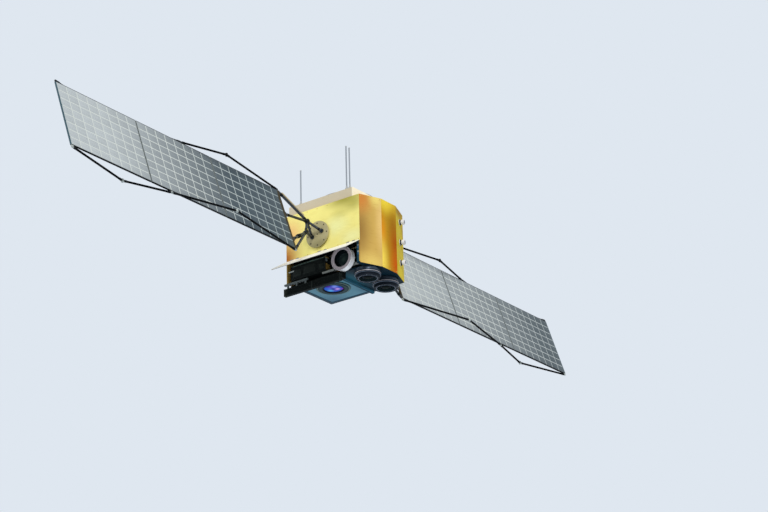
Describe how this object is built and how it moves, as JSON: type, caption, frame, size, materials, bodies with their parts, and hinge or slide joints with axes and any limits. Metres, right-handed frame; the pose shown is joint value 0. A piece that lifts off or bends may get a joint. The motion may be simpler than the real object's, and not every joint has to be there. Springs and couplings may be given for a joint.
{
  "type": "earth observation satellite",
  "caption": "Box-bodied Earth-observation satellite with nadir lenses, an open instrument bay, whip antennas and turning solar arrays on tube yokes.",
  "frame": {"origin": "centre of the launch ring's face, where the satellite is bolted to its adapter", "axes": "+Z towards the zenith, out of the launch ring; X along the solar arrays' drive axis; the instrument bay opens to -X and the faceted front faces -Y"},
  "size_m": [13.76, 1.8675, 2.508],
  "materials": {
    "ring_alloy": "machined",
    "deck_paint": "matte cream thermal paint",
    "antenna_whip": "satin",
    "mli_amber": "crinkled metallised film",
    "mli_gold": "crinkled metallised film",
    "bay_lining": "dark amber film",
    "teal_structure": "satin",
    "lens_plate_teal": "satin",
    "equipment": "plain",
    "telescope_grey": "matte",
    "black_box": "matte black",
    "cover_white": "white thermal paint",
    "lens_black": "satin black anodised",
    "lens_glass": "coated optical glass",
    "sensor_white": "satin white",
    "drive_khaki": "matte",
    "carbon_tube": "dark carbon composite",
    "hinge_alloy": "machined",
    "solar_panel": "solar cells under cover glass on a honeycomb board"
  },
  "bodies": {
    "bus": {"bay_back": "bay_lining", "bay_conduit": "telescope_grey", "bay_jamb": "teal_structure", "bay_roof": "bay_lining", "camera_left": "lens_black", "camera_right": "lens_black", "cover_hinges": "ring_alloy", "drive_housing_left": "ring_alloy", "drive_housing_right": "ring_alloy", "equipment_block": "equipment", "facet_front": "mli_amber", "facet_left": "mli_amber", "facet_right": "mli_gold", "imager_box": "black_box", "launch_ring": "ring_alloy", "lens_flange": "lens_black", "lens_glass": "lens_glass", "lens_plate": "lens_plate_teal", "nadir_deck": "teal_structure", "nadir_rib": "teal_structure", "panel_left": "mli_gold", "panel_rear": "mli_gold", "panel_right": "mli_gold", "recorder_beam": "teal_structure", "recorder_far_box": "black_box", "recorder_near_box": "black_box", "recorder_rail": "ring_alloy", "sun_sensor_1": "sensor_white", "sun_sensor_2": "sensor_white", "sun_sensor_3": "sensor_white", "telescope_barrel": "telescope_grey", "telescope_neck": "telescope_grey", "telescope_ring": "telescope_grey", "top_panel": "deck_paint", "whip_antenna_front": "antenna_whip", "whip_antenna_mid": "antenna_whip", "whip_antenna_rear": "antenna_whip", "zenith_deck": "deck_paint"},
    "array_left": {"drive_flange_left": "drive_khaki", "yoke_left": "carbon_tube", "panel_inner_left": "solar_panel", "panel_middle_left": "solar_panel", "panel_outer_left": "solar_panel", "panel_hinges_left": "hinge_alloy", "stay_lower_left": "carbon_tube", "stay_upper_left": "carbon_tube"},
    "array_right": {"drive_flange_right": "drive_khaki", "yoke_right": "carbon_tube", "panel_inner_right": "solar_panel", "panel_middle_right": "solar_panel", "panel_outer_right": "solar_panel", "panel_hinges_right": "hinge_alloy", "stay_lower_right": "carbon_tube", "stay_upper_right": "carbon_tube"},
    "bay_cover": {"bay_cover": "cover_white"}
  },
  "joints": [
    {"name": "array_drive_left", "type": "hinge", "parent": "bus", "child": "array_left", "pos_m": [-0.65, 0.165, -0.779], "axis": [1, 0, 0], "continuous": true},
    {"name": "array_drive_right", "type": "hinge", "parent": "bus", "child": "array_right", "pos_m": [0.65, 0.165, -0.779], "axis": [1, 0, 0], "continuous": true},
    {"name": "bay_cover_hinge", "type": "hinge", "parent": "bus", "child": "bay_cover", "pos_m": [-0.64, 0.0805, -1.11], "axis": [0, 1, 0], "range_deg": [-58, 0]}
  ]
}
